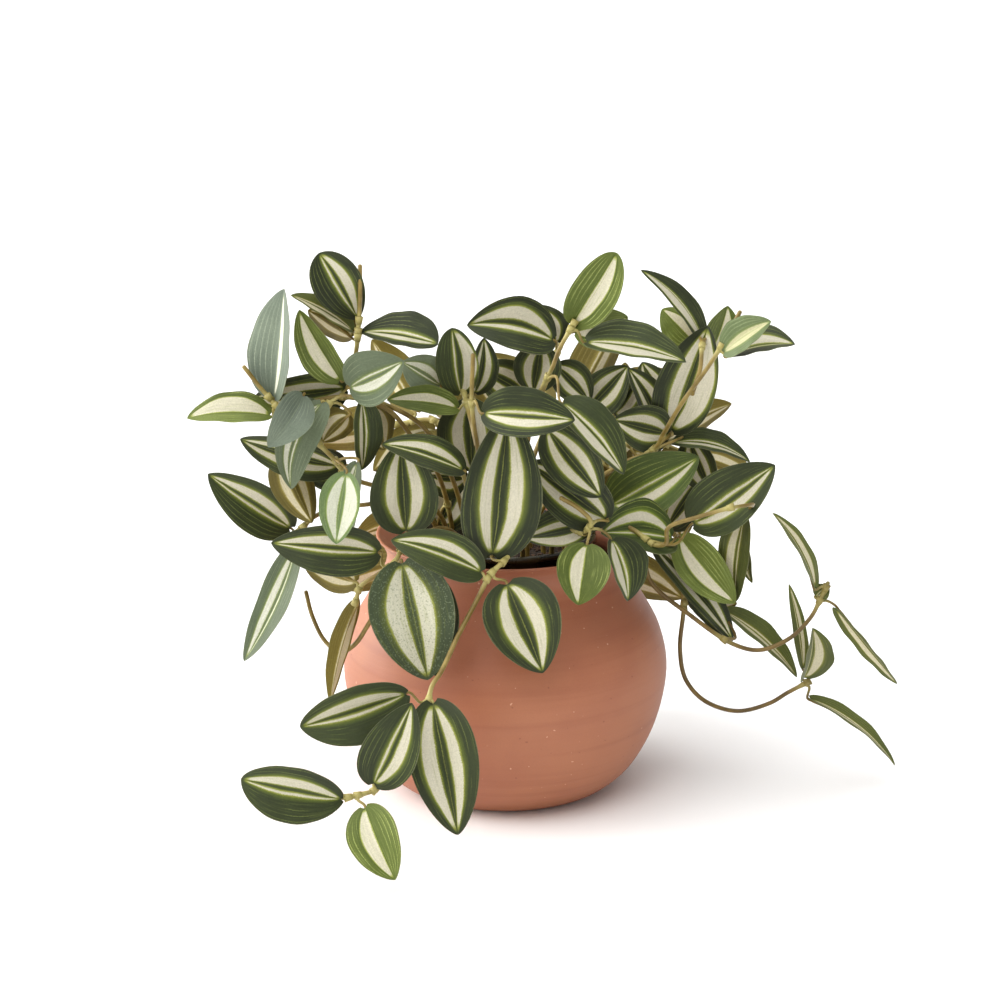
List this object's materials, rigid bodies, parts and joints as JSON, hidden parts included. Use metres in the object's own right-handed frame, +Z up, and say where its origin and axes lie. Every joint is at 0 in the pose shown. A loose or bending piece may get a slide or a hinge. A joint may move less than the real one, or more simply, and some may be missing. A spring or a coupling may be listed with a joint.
{
  "type": "potted trailing houseplant",
  "caption": "Bushy trailing plant with long pointed cream-striped leaves, rising from a dark inner grow cup set in a round-bellied unglazed clay pot with a flared lip.",
  "frame": {"origin": "middle of the flat foot that the pot stands on", "axes": "+Z up, +X to the right and +Y away from the viewer of the picture; the foot faces -Z"},
  "size_m": [0.3247, 0.2543, 0.2616],
  "materials": {
    "terracotta": "matte",
    "dark_plastic": "satin",
    "soil": "matte",
    "foliage": "satin"
  },
  "bodies": {
    "root": {"pot": "terracotta", "grow_cup": "dark_plastic", "soil": "soil", "stem_front_trailer": "foliage", "stem_crown": "foliage", "stem_left_hanger": "foliage", "stem_left_mid": "foliage", "stem_centre_left": "foliage", "stem_left_far": "foliage", "stem_left_top": "foliage", "stem_left_low": "foliage", "stem_centre_top": "foliage", "stem_right_middle": "foliage", "stem_right_outer": "foliage", "stem_right_trailer": "foliage", "stem_right_low": "foliage", "stem_right_top": "foliage", "stem_right_back": "foliage", "stem_back_right": "foliage", "stem_back_top": "foliage", "stem_back_left": "foliage", "stem_back_low_left": "foliage", "stem_back_low_right": "foliage"}
  },
  "joints": []
}
